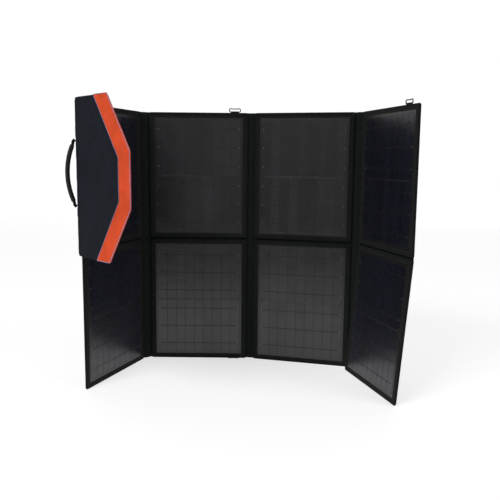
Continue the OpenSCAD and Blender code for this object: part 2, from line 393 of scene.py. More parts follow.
def woven(name, thread, lit_crown, pitch, depth, rough=0.85, sheen=0.03):
    """Plain-weave cloth: warp and weft pass over each other in a checker, with painted shade in the dips
    between threads and a painted highlight on their crowns.
    """
    material, nodes, links, bsdf = new_material(name)
    where, axis = flat_coordinates(nodes, links)
    calc = calculator(nodes, links)
    k = math.pi / pitch
    warp = calc("SINE", calc("MULTIPLY", axis[0], k))
    weft = calc("SINE", calc("MULTIPLY", axis[2], k))
    over = calc("GREATER_THAN", calc("MULTIPLY", warp, weft), 0.0)
    up_warp = calc("ABSOLUTE", warp)
    up_weft = calc("ABSOLUTE", weft)
    first = calc("MULTIPLY", up_warp, over)
    second = calc("MULTIPLY", up_weft, calc("SUBTRACT", 1.0, over))
    height = calc("ADD", first, second)
    fuzz = spread(nodes, links, where, 900, -0.25, 0.25)
    height = calc("ADD", height, fuzz)
    # painted shade and highlight: the colour is darkest in the dips between threads and lightest on their
    # crowns, following the weave's height
    colour = mix_colour(nodes, links, height, thread, lit_crown)
    patch = spread(nodes, links, where, 14, 0.78, 1.16)
    shade = nodes.new("ShaderNodeCombineColor")
    for i in range(3):
        links.new(patch, shade.inputs[i])
    colour = mix_colour(nodes, links, 1.0, colour, shade.outputs[0], "MULTIPLY")
    links.new(colour, bsdf.inputs["Base Color"])
    links.new(spread(nodes, links, where, 60, rough - 0.06, rough + 0.06), bsdf.inputs["Roughness"])
    bsdf.inputs["Sheen Weight"].default_value = sheen
    bsdf.inputs["Sheen Roughness"].default_value = 0.5
    bsdf.inputs["Specular IOR Level"].default_value = 0.15
    bump(nodes, links, bsdf, height, depth)
    return material


def moulded(name, colour, rough, grain, depth, metallic=0.0):
    """Plastic or coated metal with a fine grain and slight scuffs."""
    material, nodes, links, bsdf = new_material(name)
    where = nodes.new("ShaderNodeTexCoord").outputs["Object"]
    lighter = tuple(min(1.0, c * 1.7 + 0.004) for c in colour)
    scuff = spread(nodes, links, where, 120, 0.0, 0.5, 6.0)
    links.new(mix_colour(nodes, links, scuff, colour, lighter), bsdf.inputs["Base Color"])
    links.new(spread(nodes, links, where, 80, rough - 0.08, rough + 0.1), bsdf.inputs["Roughness"])
    bsdf.inputs["Metallic"].default_value = metallic
    bump(nodes, links, bsdf, spread(nodes, links, where, grain, 0.0, 1.0), depth)
    return material


FINGER_PITCH = 0.0016  # metres between the cells' fine silver lines


def film(name, colour, second, gloss, cell=False):
    """Laminated sheet: an embossed clear film over a dark sheet or over a cell."""
    material, nodes, links, bsdf = new_material(name)
    where, axis = flat_coordinates(nodes, links)
    calc = calculator(nodes, links)
    tint = spread(nodes, links, where, 9, 0.0, 1.0)
    base = mix_colour(nodes, links, tint, colour, second)
    if cell:
        shade = nodes.new("ShaderNodeAttribute")
        shade.attribute_name = "tone"
        base = mix_colour(nodes, links, shade.outputs["Fac"], base, tuple(c * 1.9 for c in second))
        finger = calc("SINE", calc("MULTIPLY", axis[0], math.pi / FINGER_PITCH))
        finger = calc("POWER", calc("ABSOLUTE", finger), 14.0)
        finger = calc("MULTIPLY", finger, 0.22)
        base = mix_colour(nodes, links, finger, base, (0.07, 0.07, 0.08))
    links.new(base, bsdf.inputs["Base Color"])
    links.new(spread(nodes, links, where, 25, gloss - 0.03, gloss + 0.05), bsdf.inputs["Roughness"])
    bsdf.inputs["IOR"].default_value = 1.58
    dimple = nodes.new("ShaderNodeTexVoronoi")
    dimple.inputs["Scale"].default_value = 700
    links.new(where, dimple.inputs["Vector"])
    wave = spread(nodes, links, where, 30, 0.0, 4.0, 1.0)
    bump(nodes, links, bsdf, calc("ADD", dimple.outputs["Distance"], wave), 0.00006, 0.6)
    return material


# Each cloth's second colour is the painted highlight on its threads' crowns; the first is its shaded
# colour in the dips.
PANEL_CLOTH = woven("panel_cloth", (0.003, 0.0036, 0.0034), (0.0095, 0.0112, 0.0105), 0.0007, 0.00012)
BINDING_CLOTH = woven("binding_cloth", (0.0018, 0.0022, 0.0023), (0.0062, 0.0072, 0.0074), 0.0005, 0.0001)
REAR_CLOTH = woven("rear_cloth", (0.006, 0.007, 0.009), (0.018, 0.021, 0.026), 0.0009, 0.00015)
WEB_CLOTH = woven("web_cloth", (0.0022, 0.003, 0.003), (0.0065, 0.0082, 0.0082), 0.0006, 0.00012)
CASE_CLOTH = woven("case_cloth", (0.0032, 0.0046, 0.0088), (0.0085, 0.0115, 0.0205), 0.0011, 0.0002,
                   0.85, 0.01)
STRIPE_CLOTH = woven("stripe_cloth", (0.62, 0.050, 0.010), (0.93, 0.105, 0.026), 0.0009, 0.00015,
                     0.8, 0.02)
PIPING_CLOTH = woven("piping_cloth", (0.20, 0.17, 0.30), (0.40, 0.35, 0.54), 0.0005, 0.0001,
                     0.6, 0.05)
STRAP_CLOTH = woven("strap_cloth", (0.0015, 0.0015, 0.0018), (0.005, 0.005, 0.0056), 0.0010, 0.00025)
THREAD = woven("thread", (0.006, 0.007, 0.007), (0.019, 0.021, 0.020), 0.0003, 0.00004, 0.6, 0.02)
GRIP_FOAM = moulded("grip_foam", (0.002, 0.002, 0.0024), 0.62, 2200, 0.00015)
WIRE_COAT = moulded("wire_coat", (0.003, 0.003, 0.0036), 0.42, 1500, 0.00002)
BOARD_PLASTIC = moulded("board_plastic", (0.62, 0.62, 0.58), 0.6, 500, 0.0001)
BOX_PLASTIC = moulded("box_plastic", (0.012, 0.012, 0.012), 0.45, 900, 0.00008)
SOLDER = moulded("solder", (0.16, 0.16, 0.17), 0.5, 900, 0.00004, 0.2)
RIBBON = moulded("ribbon", (0.0012, 0.0012, 0.0016), 0.6, 700, 0.00003)
BEAD_FILM = moulded("bead_film", (0.018, 0.018, 0.019), 0.35, 700, 0.00003)
SHEET_FILM = film("sheet_film", (0.0085, 0.0088, 0.0075), (0.0115, 0.0118, 0.0100), 0.30)
CELL_FILM = film("cell_film", (0.0085, 0.0082, 0.0092), (0.0125, 0.0122, 0.0138), 0.27, cell=True)
# painted shade and painted reflection: the outer panels' cells get a darker, bluer copy of the cell film
SHADED_OUTER_CELL_FILM = film("shaded_outer_cell_film", (0.0022, 0.0027, 0.0068), (0.0036, 0.0042, 0.0098), 0.27,
                       cell=True)


# ---------- Panels ----------

CORNER = 5.0  # radius of a panel's corners


def inset_outline(share):
    """Panel outline moved inwards by a share of the way to the frame's window."""
    ix, iz = WINDOW[0] * share, WINDOW[1] * share
    return rounded_rect(W - 2 * ix, H - 2 * iz, max(CORNER - ix, 0.8)) + (0, iz)


def sewn_line(outline, y, step, length, height, out):
    """Stitches along a closed panel outline at depth y."""
    path = stack(outline[:, 0], y, outline[:, 1])
    return stitches(np.vstack([path, path[:1]]), step, length, 0.8, height, out)


def sheet_wave(x, z, seed):
    """Gentle unevenness of a laminate that was pressed and has been folded often."""
    edge_x = np.clip((LAM_W / 2 - np.abs(x)) / 20, 0, 1)
    edge_z = np.clip((LAM_H / 2 - np.abs(z - H / 2)) / 20, 0, 1)
    return 0.16 * ripples(x, z, seed, 160, 5) * (edge_x * edge_z)


def front_border(name, m, body, seed):
    """Fabric frame: flat cloth with a rolled inner hem that laps over the laminate."""
    profile = [(0.10, 0.9), (0.30, 0.35), (0.46, 0.12), (0.60, 0.02), (0.70, 0.0), (0.76, 0.18),
               (0.80, 0.05), (0.88, -0.12), (0.96, -0.05), (1.0, 0.25), (1.0, LAM_Y - 0.1)]
    rings = []
    for share, y in profile:
        outline = inset_outline(share)
        x, z = outline[:, 0], outline[:, 1]
        give = 0.16 * ripples(x, z, seed, 34) * math.sin(math.pi * min(share, 1.0))
        rings.append(stack(x, y + give, z))
    count = len(rings[0])
    faces = grid_faces(len(rings), count, close_cols=True)
    piece(f"{name}_front_cloth", m, np.vstack(rings), faces, PANEL_CLOTH, body,
          (f"{name}_front_frame",), detail=1)
    for label, share, y in (("hem", 0.74, 0.12), ("edge", 0.50, 0.06)):
        points, tris = sewn_line(inset_outline(share), y, 4.4, 3.4, 0.28, (0, -1, 0))
        piece(f"{name}_{label}_stitching", m, points, tris, THREAD, body, smooth=False)


def edge_binding(name, m, body, seed):
    """Tape folded round the panel's edge, puckered where it is sewn."""
    profile = [(7.0, 0.35), (7.1, -0.05), (6.6, -0.32), (4.6, -0.42), (2.2, -0.40), (0.8, -0.15),
               (0.1, 0.5), (-0.25, 1.5), (-0.3, T / 2), (-0.25, T - 1.5), (0.1, T - 0.5),
               (0.8, T + 0.2), (2.2, T + 0.42), (4.6, T + 0.42), (6.6, T + 0.34), (7.1, T + 0.1),
               (7.0, T - 0.3)]
    rings = []
    for inset, y in profile:
        outline = rounded_rect(W - 2 * inset, H - 2 * inset, max(CORNER - inset, 0.9), 56, 5) + (0, inset)
        x, z = outline[:, 0], outline[:, 1]
        pucker = 0.10 * ripples(x, z, seed + 7, 9, 5) + 0.12 * ripples(x, z, seed + 9, 40, 5)
        side = -1 if y < T / 2 else 1
        lift = side * abs(1 - abs(y - T / 2) / T)
        rings.append(stack(x, y + lift * pucker + 0.4 * pucker, z))
    faces = grid_faces(len(rings), len(rings[0]), close_cols=True)
    piece(f"{name}_binding", m, np.vstack(rings), faces, BINDING_CLOTH, body, detail=1)
    for label, y, out in (("front", -0.40, (0, -1, 0)), ("rear", T + 0.42, (0, 1, 0))):
        outline = rounded_rect(W - 11.4, H - 11.4, 1.2, 56, 5) + (0, 5.7)
        points, tris = sewn_line(outline, y, 4.0, 3.1, 0.25, out)
        piece(f"{name}_{label}_tape_stitching", m, points, tris, THREAD, body,
              smooth=False)


def laminate_sheet(name, m, body, seed):
    """Dark laminated sheet with a softened edge."""
    columns, rows = 26, 34
    xs = np.linspace(-LAM_W / 2, LAM_W / 2, columns)
    zs = np.linspace((H - LAM_H) / 2, (H + LAM_H) / 2, rows)
    x, z = np.meshgrid(xs, zs)
    front = stack(x, LAM_Y + sheet_wave(x, z, seed), z)
    rear = stack(x, LAM_Y + 1.4, z)
    faces = closed_sheet(rows, columns, len(front))
    piece(f"{name}_laminate_sheet", m, np.vstack([front, rear]), faces, SHEET_FILM, body,
          (f"{name}_laminate",), smooth=False)


def cell_strips(name, m, body, seed):
    """Cut cell strips with chamfered outer corners, their ribbons and solder points."""
    rng = np.random.default_rng(seed)
    # columns 1 and 4 take the darker, bluer cell film, a painted shade and painted blue reflection
    material = SHADED_OUTER_CELL_FILM if name[-1] in "14" else CELL_FILM
    step = (CELLS_W + STRIP_GAP) / STRIPS
    strip_w = step - STRIP_GAP
    row_step = (CELLS_H + ROW_GAP) / STRIP_ROWS
    strip_h = row_step - ROW_GAP
    z0 = (H - CELLS_H) / 2
    points, faces, tone = [], [], []
    ribbons, ribbon_faces, dots, dot_faces = [], [], [], []
    for r in range(STRIP_ROWS):
        base_z = z0 + r * row_step
        for i in range(STRIPS):
            left = -CELLS_W / 2 + i * step
            cut = (8.0 if i == 0 else 0.5, 8.0 if i == STRIPS - 1 else 0.5)
            shade = rng.uniform(0.0, 0.55)
            levels = sorted({0.0, *cut, *np.linspace(12, strip_h - 12, 9),
                             *(strip_h - c for c in cut), strip_h})
            first = len(points)
            for level in levels:
                near = min(level, strip_h - level)
                a = left + max(0.0, cut[0] - near)
                b = left + strip_w - max(0.0, cut[1] - near)
                for x in np.linspace(a, b, 5):
                    y = LAM_Y - 0.12 + float(sheet_wave(x, base_z + level, seed))
                    points.append((x, y, base_z + level))
                    tone.append(shade)
            faces += [tuple(k + first for k in f) for f in grid_faces(len(levels), 5)]
        for i in range(1, STRIPS):
            x = -CELLS_W / 2 + i * step - 0.4
            zs = np.linspace(base_z + 1, base_z + strip_h - 1, 16)
            y = LAM_Y - 0.2 + sheet_wave(x, zs, seed)
            first = len(ribbons)
            for dx in (-0.6, 0.6):
                ribbons += list(zip(np.full(16, x + dx), y, zs))
            ribbon_faces += [tuple(k + first for k in f[::-1]) for f in grid_faces(2, 16)]
        for b in range(BUSBARS):
            z = base_z + strip_h * (2 * b + 1) / (2 * BUSBARS)
            xs = np.linspace(-CELLS_W / 2 + 2, CELLS_W / 2 - 2, 40)
            y = LAM_Y - 0.2 + sheet_wave(xs, z, seed)
            first = len(ribbons)
            for dz in (-0.95, 0.95):
                ribbons += list(zip(xs, y, np.full(40, z + dz)))
            ribbon_faces += [tuple(k + first for k in f) for f in grid_faces(2, 40)]
            for x in (-CELLS_W / 2 + 3.4, CELLS_W / 2 - 3.4):
                first = len(dots)
                yd = LAM_Y - 0.2 + float(sheet_wave(x, z, seed))
                dots.append((x, yd - 0.2, z))
                ring = [(x + 0.8 * math.cos(a), yd, z + 1.9 * math.sin(a))
                        for a in np.linspace(0, 2 * math.pi, 12, endpoint=False)]
                dots += ring
                dot_faces += [(first, first + 1 + k, first + 1 + (k + 1) % 12) for k in range(12)]
    piece(f"{name}_cell_strips", m, points, faces, material, body, (f"{name}_cells",),
          smooth=False, tone=tone)
    piece(f"{name}_ribbons", m, ribbons, ribbon_faces, RIBBON, body, smooth=False)
    piece(f"{name}_solder_points", m, dots, dot_faces, SOLDER, body)


def row_beads(name, m, body, seed):
    """Fine raised line pressed into the film round each row of cells."""
    row_step = (CELLS_H + ROW_GAP) / STRIP_ROWS
    parts = []
    for r in range(STRIP_ROWS):
        z0 = (H - CELLS_H) / 2 + r * row_step
        outline = rounded_rect(CELLS_W + 5, row_step - 2.4, 11, 40, 6) + (0, z0 + 0.2)
        y = LAM_Y - 0.16 + sheet_wave(outline[:, 0], outline[:, 1], seed)
        path = stack(outline[:, 0], y, outline[:, 1])
        parts.append(sweep(path, 0.22, 0.5, 6, closed=True))
    points, faces = joined(parts)
    piece(f"{name}_row_beads", m, points, faces, BEAD_FILM, body)


def rear_cloth(name, m, body, seed):
    """Rear fabric drawn over the stiffening board, slack near the seams."""
    columns, rows = 44, 56
    share = np.linspace(0, 1, columns)
    xs = (-np.cos(share * math.pi) * 0.35 + (2 * share - 1) * 0.65) * (W / 2 - 3)
    share = np.linspace(0, 1, rows)
    zs = H / 2 + (-np.cos(share * math.pi) * 0.35 + (2 * share - 1) * 0.65) * (H / 2 - 3)
    x, z = np.meshgrid(xs, zs)
    edge = np.minimum(W / 2 - np.abs(x), H / 2 - np.abs(z - H / 2))
    body_lift = 0.5 * np.clip((edge - 8) / 14, 0, 1) ** 0.7
    slack = 0.30 * ripples(x, z, seed + 3, 55) * np.clip((edge - 6) / 30, 0, 1)
    board_edge = -0.35 * np.exp(-((edge - 9.5) / 1.6) ** 2)
    y = T - 0.1 + body_lift + slack + board_edge
    cloth = piece(f"{name}_rear_cloth", m, stack(x, y, z), grid_faces(rows, columns), REAR_CLOTH, body,
                  (f"{name}_rear_cover",), detail=1)


def coat(node, material):
    """Gives a carried-over CAD node its material."""
    materials = frame["nodes"][node].data.materials
    materials.clear()
    materials.append(material)


for order, (row, col) in enumerate(PANEL):
    name = f"{row}_{col}"
    builders = (front_border, edge_binding, laminate_sheet, cell_strips, row_beads, rear_cloth)
    for build in builders:
        build(name, PANEL[row, col], name, 100 + 13 * order)
    coat(f"{name}_board", BOARD_PLASTIC)
    coat(f"{name}_junction_box", BOX_PLASTIC)
coat("flap_board", BOARD_PLASTIC)


# ---------- Webs ----------

def curve_through(points, count):
    """Smooth curve through given points, as a Catmull-Rom spline."""
    p = np.asarray(points, float)
    p = np.vstack([2 * p[0] - p[1], p, 2 * p[-1] - p[-2]])
    out = []
    spans = len(p) - 3
    for t in np.linspace(0, spans, count):
        i = min(int(t), spans - 1)
        f = t - i
        a, b, c, d = p[i:i + 4]
        out.append(0.5 * (2 * b + (c - a) * f + (2 * a - 5 * b + 4 * c - d) * f ** 2
                          + (3 * b - a - 3 * c + d) * f ** 3))
    return np.array(out)


ROW_IDENTITY = Matrix.Scale(MM, 4)


def sheet_strip(section, heights, seed, thick=0.7):
    """Closed cloth strip: section is a plan curve in row millimetres, carried through heights."""
    section = np.asarray(section, float)
    tangent = np.gradient(section, axis=0)
    normal = np.column_stack([-tangent[:, 1], tangent[:, 0], np.zeros(len(section))])
    normal /= np.linalg.norm(normal, axis=1)[:, None]
    along = np.concatenate([[0], np.cumsum(np.linalg.norm(np.diff(section, axis=0), axis=1))])
    slack = np.sin(np.linspace(0, math.pi, len(section)))
    layers, flat = [], []
    for side in (-0.5, 0.5):
        for h in heights:
            ease = 0.35 * ripples(along, np.full(len(along), h), seed, 26) * slack
            layers.append(section + normal * (side * thick + ease)[:, None] + np.array([0, 0, h]))
            flat.append(np.column_stack([along, np.full(len(along), side), np.full(len(along), h)]))
    half = len(heights) * len(section)
    points = np.vstack(layers)
    return points, closed_sheet(len(heights), len(section), half), np.vstack(flat)


def at_panel(row, col, x, y, z=0.0):
    """A point of a panel's flat frame in row millimetres."""
    return np.array(PANEL[row, col] @ Vector((x, y, z))) / MM


# Share of a lower web's section that the panel on its left carries. Beside the
# leaning panel of column 4 that is all but a sliver, and the sliver isn't made.
LEFT_SHARE = {1: 0.5, 2: 0.5, 3: 0.92}
WEB_POINTS = 25


def column_web(left_col, bulge):
    """Web between two columns: one curved strip on the upper row, two parts on the lower."""
    right_col = left_col + 1
    a, b = ("upper", left_col), ("upper", right_col)
    inner = at_panel(*a, W / 2 - 5, T + 0.1), at_panel(*b, -W / 2 + 5, T + 0.1)
    edge = at_panel(*a, W / 2 + 0.4, T - 0.5), at_panel(*b, -W / 2 - 0.4, T - 0.5)
    rear = np.array(UP.cross(Vector(edge[1] - edge[0])).normalized())
    middle = (edge[0] + edge[1]) / 2 + rear * bulge
    section = curve_through([inner[0], edge[0], middle, edge[1], inner[1]], WEB_POINTS)
    section[:, 2] = 0
    foot = at_panel(*a, 0, 0)[2]
    name = f"web_{left_col}_{right_col}"
    heights = foot + np.linspace(-12, H - 0.3, 44)
    points, faces, flat = sheet_strip(section + rear * 0.5, heights, 900 + left_col)
    web = piece(f"upper_{name}", ROW_IDENTITY, points, faces, WEB_CLOTH, None,
                flat=flat, ride=False)
    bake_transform(web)
    cut = round(LEFT_SHARE[left_col] * WEB_POINTS)
    heights = np.linspace(1, H - 3, 40)
    lean = JOINT[f"row_fold_{right_col}"]
    leaning = turned(ROW_IDENTITY, lean, -lean["range_deg"][0])
    for side, part, m in (("left", section[:cut + 1], ROW_IDENTITY), ("right", section[cut:], leaning)):
        if len(part) < 4:                    # too narrow to be a strip
            continue
        points, faces, flat = sheet_strip(part, heights, 950 + left_col + (side == "right") * 20)
        col = left_col if side == "left" else right_col
        web = piece(f"lower_{name}_{side}", m, points, faces, WEB_CLOTH, f"lower_{col}",
                    flat=flat)


def row_web(col):
    """Web between the two panels of one column."""
    spine = [("lower", T + 0.1, H - 5), ("lower", T - 0.5, H + 0.3),
             ("upper", T - 0.5, -0.3), ("upper", T + 0.1, 5)]
    columns = 40
    xs = np.linspace(-W / 2 + 3, W / 2 - 3, columns)
    rows = []
    for x in xs:
        marks = [at_panel(row, col, x, y, z) for row, y, z in spine]
        middle = (marks[1] + marks[2]) / 2
        back = at_panel("upper", col, x, 1.0) - at_panel("upper", col, x, 0.0)
        rows.append(curve_through([marks[0], marks[1], middle + back * 0.5, marks[2], marks[3]], 13))
    grid = np.stack(rows, 1)
    back = at_panel("upper", col, 0, 1.0) - at_panel("upper", col, 0, 0.0)
    front, rear = grid.reshape(-1, 3), (grid + back * 0.6).reshape(-1, 3)
    faces = closed_sheet(13, columns, len(front))
    web = piece(f"row_web_{col}", ROW_IDENTITY, np.vstack([front, rear]), faces, WEB_CLOTH, None,
                ride=False)
    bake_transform(web)


for left_col, bulge in ((1, -2.0), (2, -1.0), (3, -2.0)):
    column_web(left_col, bulge)
for col in COLUMNS:
    row_web(col)


# ---------- Case spine and flap ----------

def slab(width_points, low, high, thick, seed, puff=0.4):
    """Soft closed slab over x from its fold outwards; low and high give z at each x."""
    columns, rows = len(width_points), 60
    x = np.array(width_points)
    v = np.linspace(0, 1, rows)[:, None]
    z = low(-x)[None, :] * (1 - v) + high(-x)[None, :] * v
    x = np.broadcast_to(x, z.shape)
    near = np.minimum(np.minimum(-x - (-x).min(), (-x).max() + x),
                      np.minimum(z - low(-x), high(-x) - z))
    swell = np.clip(near / 9, 0, 1) ** 0.5
    lift = puff * swell + 0.28 * ripples(x, z, seed, 60) * swell
    outer = stack(x, thick / 2 - 0.45 + lift, z)
    inner = stack(x, -thick / 2 + 0.45 - 0.6 * lift, z)
    faces = [f[::-1] for f in closed_sheet(rows, columns, len(outer))]
    return np.vstack([outer, inner]), faces


FLAP_EDGE = 2.0  # the cover starts this far from its fold
FLAP_SIDE = 134.0  # where the slanted edges leave the top and bottom
FLAP_TIP = 218.0  # the free edge, and its straight length below
TIP_LENGTH = 120.0
SLANT = (CASE_H - TIP_LENGTH) / 2


def flap_low(s):
    """Height of the flap's lower edge at distance s from its fold."""
    return np.clip((s - FLAP_SIDE) / (FLAP_TIP - FLAP_SIDE), 0, 1) * SLANT


def flap_high(s):
    """Height of the flap's upper edge at distance s from its fold."""
    return CASE_H - flap_low(s)


def outline_path(inset):
    """The flap's free slanted and tip edges moved inwards, from the top edge to the bottom edge."""
    run = FLAP_TIP - FLAP_SIDE
    length = math.hypot(run, SLANT)
    shift = inset * length / SLANT
    corner_x = FLAP_TIP - inset
    corner_z = CASE_H - (corner_x + shift - FLAP_SIDE) / run * SLANT
    top_x = FLAP_SIDE - shift
    return [(top_x, CASE_H), (corner_x, corner_z), (corner_x, CASE_H - corner_z), (top_x, 0.0)]


def flap_line(inset, y, ends=2.5, per=(22, 16, 22)):
    """Points along outline_path, cut ends short of the top and bottom edges."""
    marks = [np.array(p) for p in outline_path(inset)]
    cut = (marks[0] - marks[1]) * ends / (marks[0] - marks[1])[1]
    marks[0] = marks[0] - cut
    marks[3] = marks[3] + np.array([-cut[0], cut[1]])
    out = []
    for a, b, n in zip(marks, marks[1:], per):
        out += [a + (b - a) * k / n for k in range(n)]
    out.append(marks[3])
    return np.array([(-s, y, z) for s, z in out])


def flap():
    """Case flap with its coloured band, piping and bound edge."""
    s = np.concatenate([np.linspace(FLAP_EDGE, FLAP_SIDE, 26),
                        np.linspace(FLAP_SIDE, FLAP_TIP, 18)[1:]])
    points, faces = slab(-s, flap_low, flap_high, CASE_T, 410, 0.3)
    cloth = piece("flap_cloth", FLAP, points, faces, CASE_CLOTH, "flap", ("flap_cover",),
                  detail=1)
    # coloured band wrapped round the free edges, with a pale cord along both of its sides
    insets = (-0.5, -0.75, -0.2, 1.0, 4.0, 10.0, 18.0, 26.0, 34.0, 40.0, 42.6, 43.0)
    lifts = (-1.6, 0.0, 0.55, 0.72, 0.72, 0.66, 0.68, 0.72, 0.66, 0.60, 0.5, 0.1)
    face = CASE_T / 2 - 0.1
    rings = [flap_line(i, face + l, -0.5) for i, l in zip(insets, lifts)]
    for ring in rings:
        ring[:, 1] += 0.12 * ripples(ring[:, 0], ring[:, 2], 432, 30)
    faces = grid_faces(len(rings), len(rings[0]))
    band = piece("flap_band", FLAP, np.vstack(rings), faces, STRIPE_CLOTH, "flap",
                 ("flap_stripe",), detail=1)
    for label, inset, size in (("outer", 0.1, 0.95), ("inner", 43.2, 0.7)):
        points, faces = sweep(flap_line(inset, face + 0.62, -0.6), 0.5, size, 8)
        piece(f"flap_band_{label}_piping", FLAP, points, faces, PIPING_CLOTH, "flap")
    for label, inset in (("outer", 3.2), ("inner", 40.6)):
        points, faces = stitches(flap_line(inset, face + 0.66, 2.0), 4.2, 3.2, 0.8, 0.3, (0, 1, 0))
        piece(f"flap_band_{label}_stitching", FLAP, points, faces, STRIPE_CLOTH, "flap",
                          smooth=False)
    for label, end in (("top", 0), ("foot", -1)):
        line = np.array([ring[end] for ring in rings[2:-1]]) + (0, 0.05, 0)
        points, faces = sweep(line, 0.5, 0.75, 8)
        piece(f"flap_band_{label}_piping", FLAP, points, faces, PIPING_CLOTH, "flap")
    border = edge_loop()
    points, faces = sweep(border, CASE_T / 2 + 0.1, 1.7, 12, closed=True)
    points[:, 1] += 0.12 * ripples(points[:, 0], points[:, 2], 77, 11)
    piece("flap_binding", FLAP, points, faces, BINDING_CLOTH, "flap", detail=1)


def edge_loop():
    """Closed path just inside the flap's whole outline."""
    a = FLAP_EDGE + 1.6
    corners = [(a, 1.6), (FLAP_SIDE - 0.6, 1.6), (FLAP_TIP - 1.6, SLANT + 0.8),
               (FLAP_TIP - 1.6, CASE_H - SLANT - 0.8), (FLAP_SIDE - 0.6, CASE_H - 1.6), (a, CASE_H - 1.6)]
    out = []
    for (s0, z0), (s1, z1) in zip(corners, corners[1:] + corners[:1]):
        n = max(4, int(math.hypot(s1 - s0, z1 - z0) / 6))
        out += [(-(s0 + (s1 - s0) * k / n), 0.0, z0 + (z1 - z0) * k / n) for k in range(n)]
    return np.array(out)


def spine():
    """Case spine with two stitched lines on each face."""
    first, last = FLAP_EDGE, SPINE_REACH - FLAP_EDGE - 0.5
    s = np.linspace(first, last, 14)
    points, faces = slab(-s, lambda v: v * 0, lambda v: v * 0 + CASE_H, CASE_T, 520, 0.3)
    cloth = piece("spine_cloth", SPINE, points, faces, CASE_CLOTH, "spine",
                  ("spine_cover",), detail=1)
    for s_line in (first + 2.6, last - 2.6):
        path = np.array([(-s_line, 0.0, z) for z in np.linspace(4, CASE_H - 4, 30)])
        for label, out, y in (("outer", (0, 1, 0), CASE_T / 2), ("inner", (0, -1, 0), -CASE_T / 2)):
            path[:, 1] = y
            points, faces = stitches(path, 4.2, 3.2, 0.8, 0.3, out)
            side = "near" if s_line < 20 else "far"
            piece(f"spine_{side}_{label}_stitching", SPINE, points, faces, THREAD, "spine",
                  smooth=False)


def case_web(name, a, b):
    """Soft strip over a case fold, given as plan points in row millimetres."""
    middle = (a[1] + b[0]) / 2 + (a[1] + b[0] - a[0] - b[1]) * 0.12
    section = curve_through([a[0], a[1], middle, b[0], b[1]], 19)
    section[:, 2] = 0
    heights = CASE_Z + np.linspace(7, CASE_H - 7, 44)
    points, faces, flat = sheet_strip(section, heights, 640, 0.9)
    web = piece(name, ROW_IDENTITY, points, faces, CASE_CLOTH, None, flat=flat, ride=False)
    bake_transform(web)


def plan(m, x, y):
    """A point of a flat frame, at its foot, in row millimetres."""
    return np.array(m @ Vector((x, y, 0))) / MM


flap()
spine()
outer = CASE_T / 2 - 0.4
first_panel = PANEL["upper", 1]
case_web("spine_web", (plan(first_panel, -W / 2 + 5, T - 0.4), plan(first_panel, -W / 2 - 0.3, T - 0.6)),
         (plan(SPINE, -FLAP_EDGE - 0.5, outer), plan(SPINE, -FLAP_EDGE - 6, outer)))
reach = SPINE_REACH - FLAP_EDGE
case_web("flap_web", (plan(SPINE, -reach + 6, outer), plan(SPINE, -reach + 0.5, outer)),
         (plan(FLAP, -FLAP_EDGE - 0.5, outer), plan(FLAP, -FLAP_EDGE - 6, outer)))


# ---------- Handle ----------

HANDLE = JOINT["handle_swing"]
HANDLE_Z = HANDLE["pos_m"][2] / MM - CASE_Z
HANDLE_S = (Vector(HANDLE["pos_m"]) - SPINE_POS).dot(OUTWARD) / MM
BACK = UP.cross(-OUTWARD)
HANDLE_Y = (Vector(HANDLE["pos_m"]) - SPINE_POS).dot(BACK) / MM
SPAN = 158.0  # between the handle's two ends
RISE = 19.0  # height of its bow
GRIP = 134.0  # length of the padded sleeve


def handle():
    """Padded grip on a bowed strap, with the strap ends and their anchors."""
    radius = ((SPAN / 2) ** 2 + RISE ** 2) / (2 * RISE)
    half = math.asin(GRIP / 2 / radius)
    angles = np.linspace(-half, half, 44)
    path = np.array([(-HANDLE_S, HANDLE_Y + radius * math.cos(a) - radius + RISE,
                      HANDLE_Z + radius * math.sin(a)) for a in angles])
    f = np.linspace(-1, 1, len(angles))
    thick = 5.6 - 0.5 * np.exp(-((np.abs(f) - 0.97) / 0.05) ** 2) + 0.12 * np.sin(f * 40)
    thick[0] = thick[-1] = 3.9
    points, faces = sweep(path, thick * 0.96, thick * 1.08, 20, out=(0, 1, 0))
    points = points + np.column_stack([0.12 * ripples(points[:, 1] * 3, points[:, 2], 31, 22)] * 3)
    sleeve = piece("grip_sleeve", SPINE, points, faces, GRIP_FOAM, "handle", ("handle_grip",),
                   detail=1)
    # sewn seam down the outer side of the sleeve
    seam = path + np.column_stack([np.full(len(path), 0.0), 5.25 * np.cos(angles), 5.25 * np.sin(angles)])
    points, faces = stitches(seam, 4.0, 3.0, 0.9, 0.45, (0, 1, 0))
    piece("grip_stitching", SPINE, points, faces, THREAD, "handle", smooth=False)
    ends = []
    for sign, tip, further_in in ((-1, path[0], path[4]), (1, path[-1], path[-5])):
        hole = np.array([-HANDLE_S, HANDLE_Y, HANDLE_Z + sign * (SPAN / 2 - 1.5)])
        inside = tip + (further_in - tip) * 0.7
        bend = (tip + hole) / 2 + np.array([0, 1.6, sign * 1.4])
        ends.append(curve_through([inside, tip, bend, hole], 18))
    k = np.linspace(0, 1, len(ends[0]))
    points, faces = joined([sweep(curve, 3.0 + 0.8 * k, 3.4 + 0.8 * k, 10, out=(1, 0, 0))
                            for curve in ends])
    piece("handle_strap_ends", SPINE, points, faces, STRAP_CLOTH, "handle",
          ("handle_strap",), detail=1)
    for sign, label in ((-1, "lower"), (1, "upper")):
        half = 12 if sign < 0 else 17
        anchor_patch(f"{label}_anchor", HANDLE_Z + sign * (SPAN / 2 + half - 1), half, sign)


